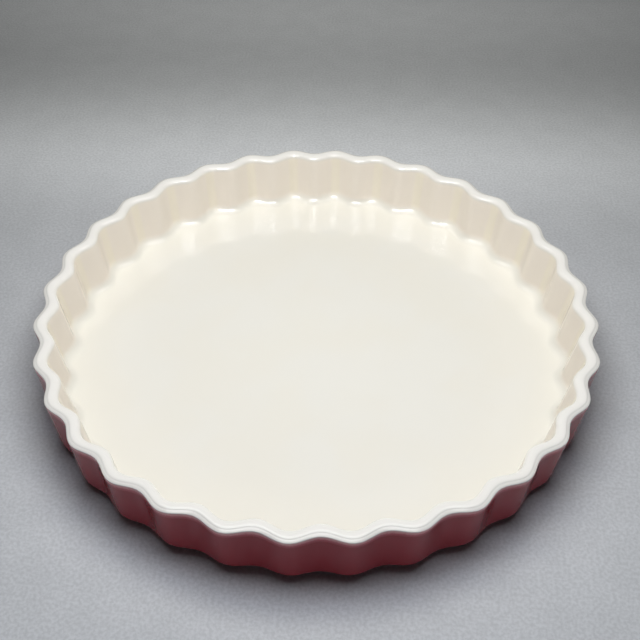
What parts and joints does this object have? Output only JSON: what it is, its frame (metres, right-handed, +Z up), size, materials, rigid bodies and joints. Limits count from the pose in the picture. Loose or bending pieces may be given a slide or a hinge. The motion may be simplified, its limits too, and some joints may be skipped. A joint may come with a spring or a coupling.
{
  "type": "fluted quiche dish",
  "caption": "Round, shallow ceramic quiche dish with an upright fluted wall, ivory glaze inside and over the rim, burgundy glaze outside, on a bare foot ring.",
  "frame": {"origin": "on the table, under the centre of the dish", "axes": "+Z up, along the axis of the round dish; a crest of the flutes lies on +X and on +Y; the picture looks along about +Y from in front and above"},
  "size_m": [0.2834, 0.2834, 0.035],
  "materials": {
    "bare_stoneware": "matt, bare fired clay",
    "ivory_glaze": "glossy ivory glaze",
    "burgundy_glaze": "glossy dark red glaze"
  },
  "bodies": {
    "root": {"stoneware_body": "bare_stoneware", "ivory_glaze": "ivory_glaze", "burgundy_wall_glaze": "burgundy_glaze", "burgundy_base_glaze": "burgundy_glaze"}
  },
  "joints": []
}
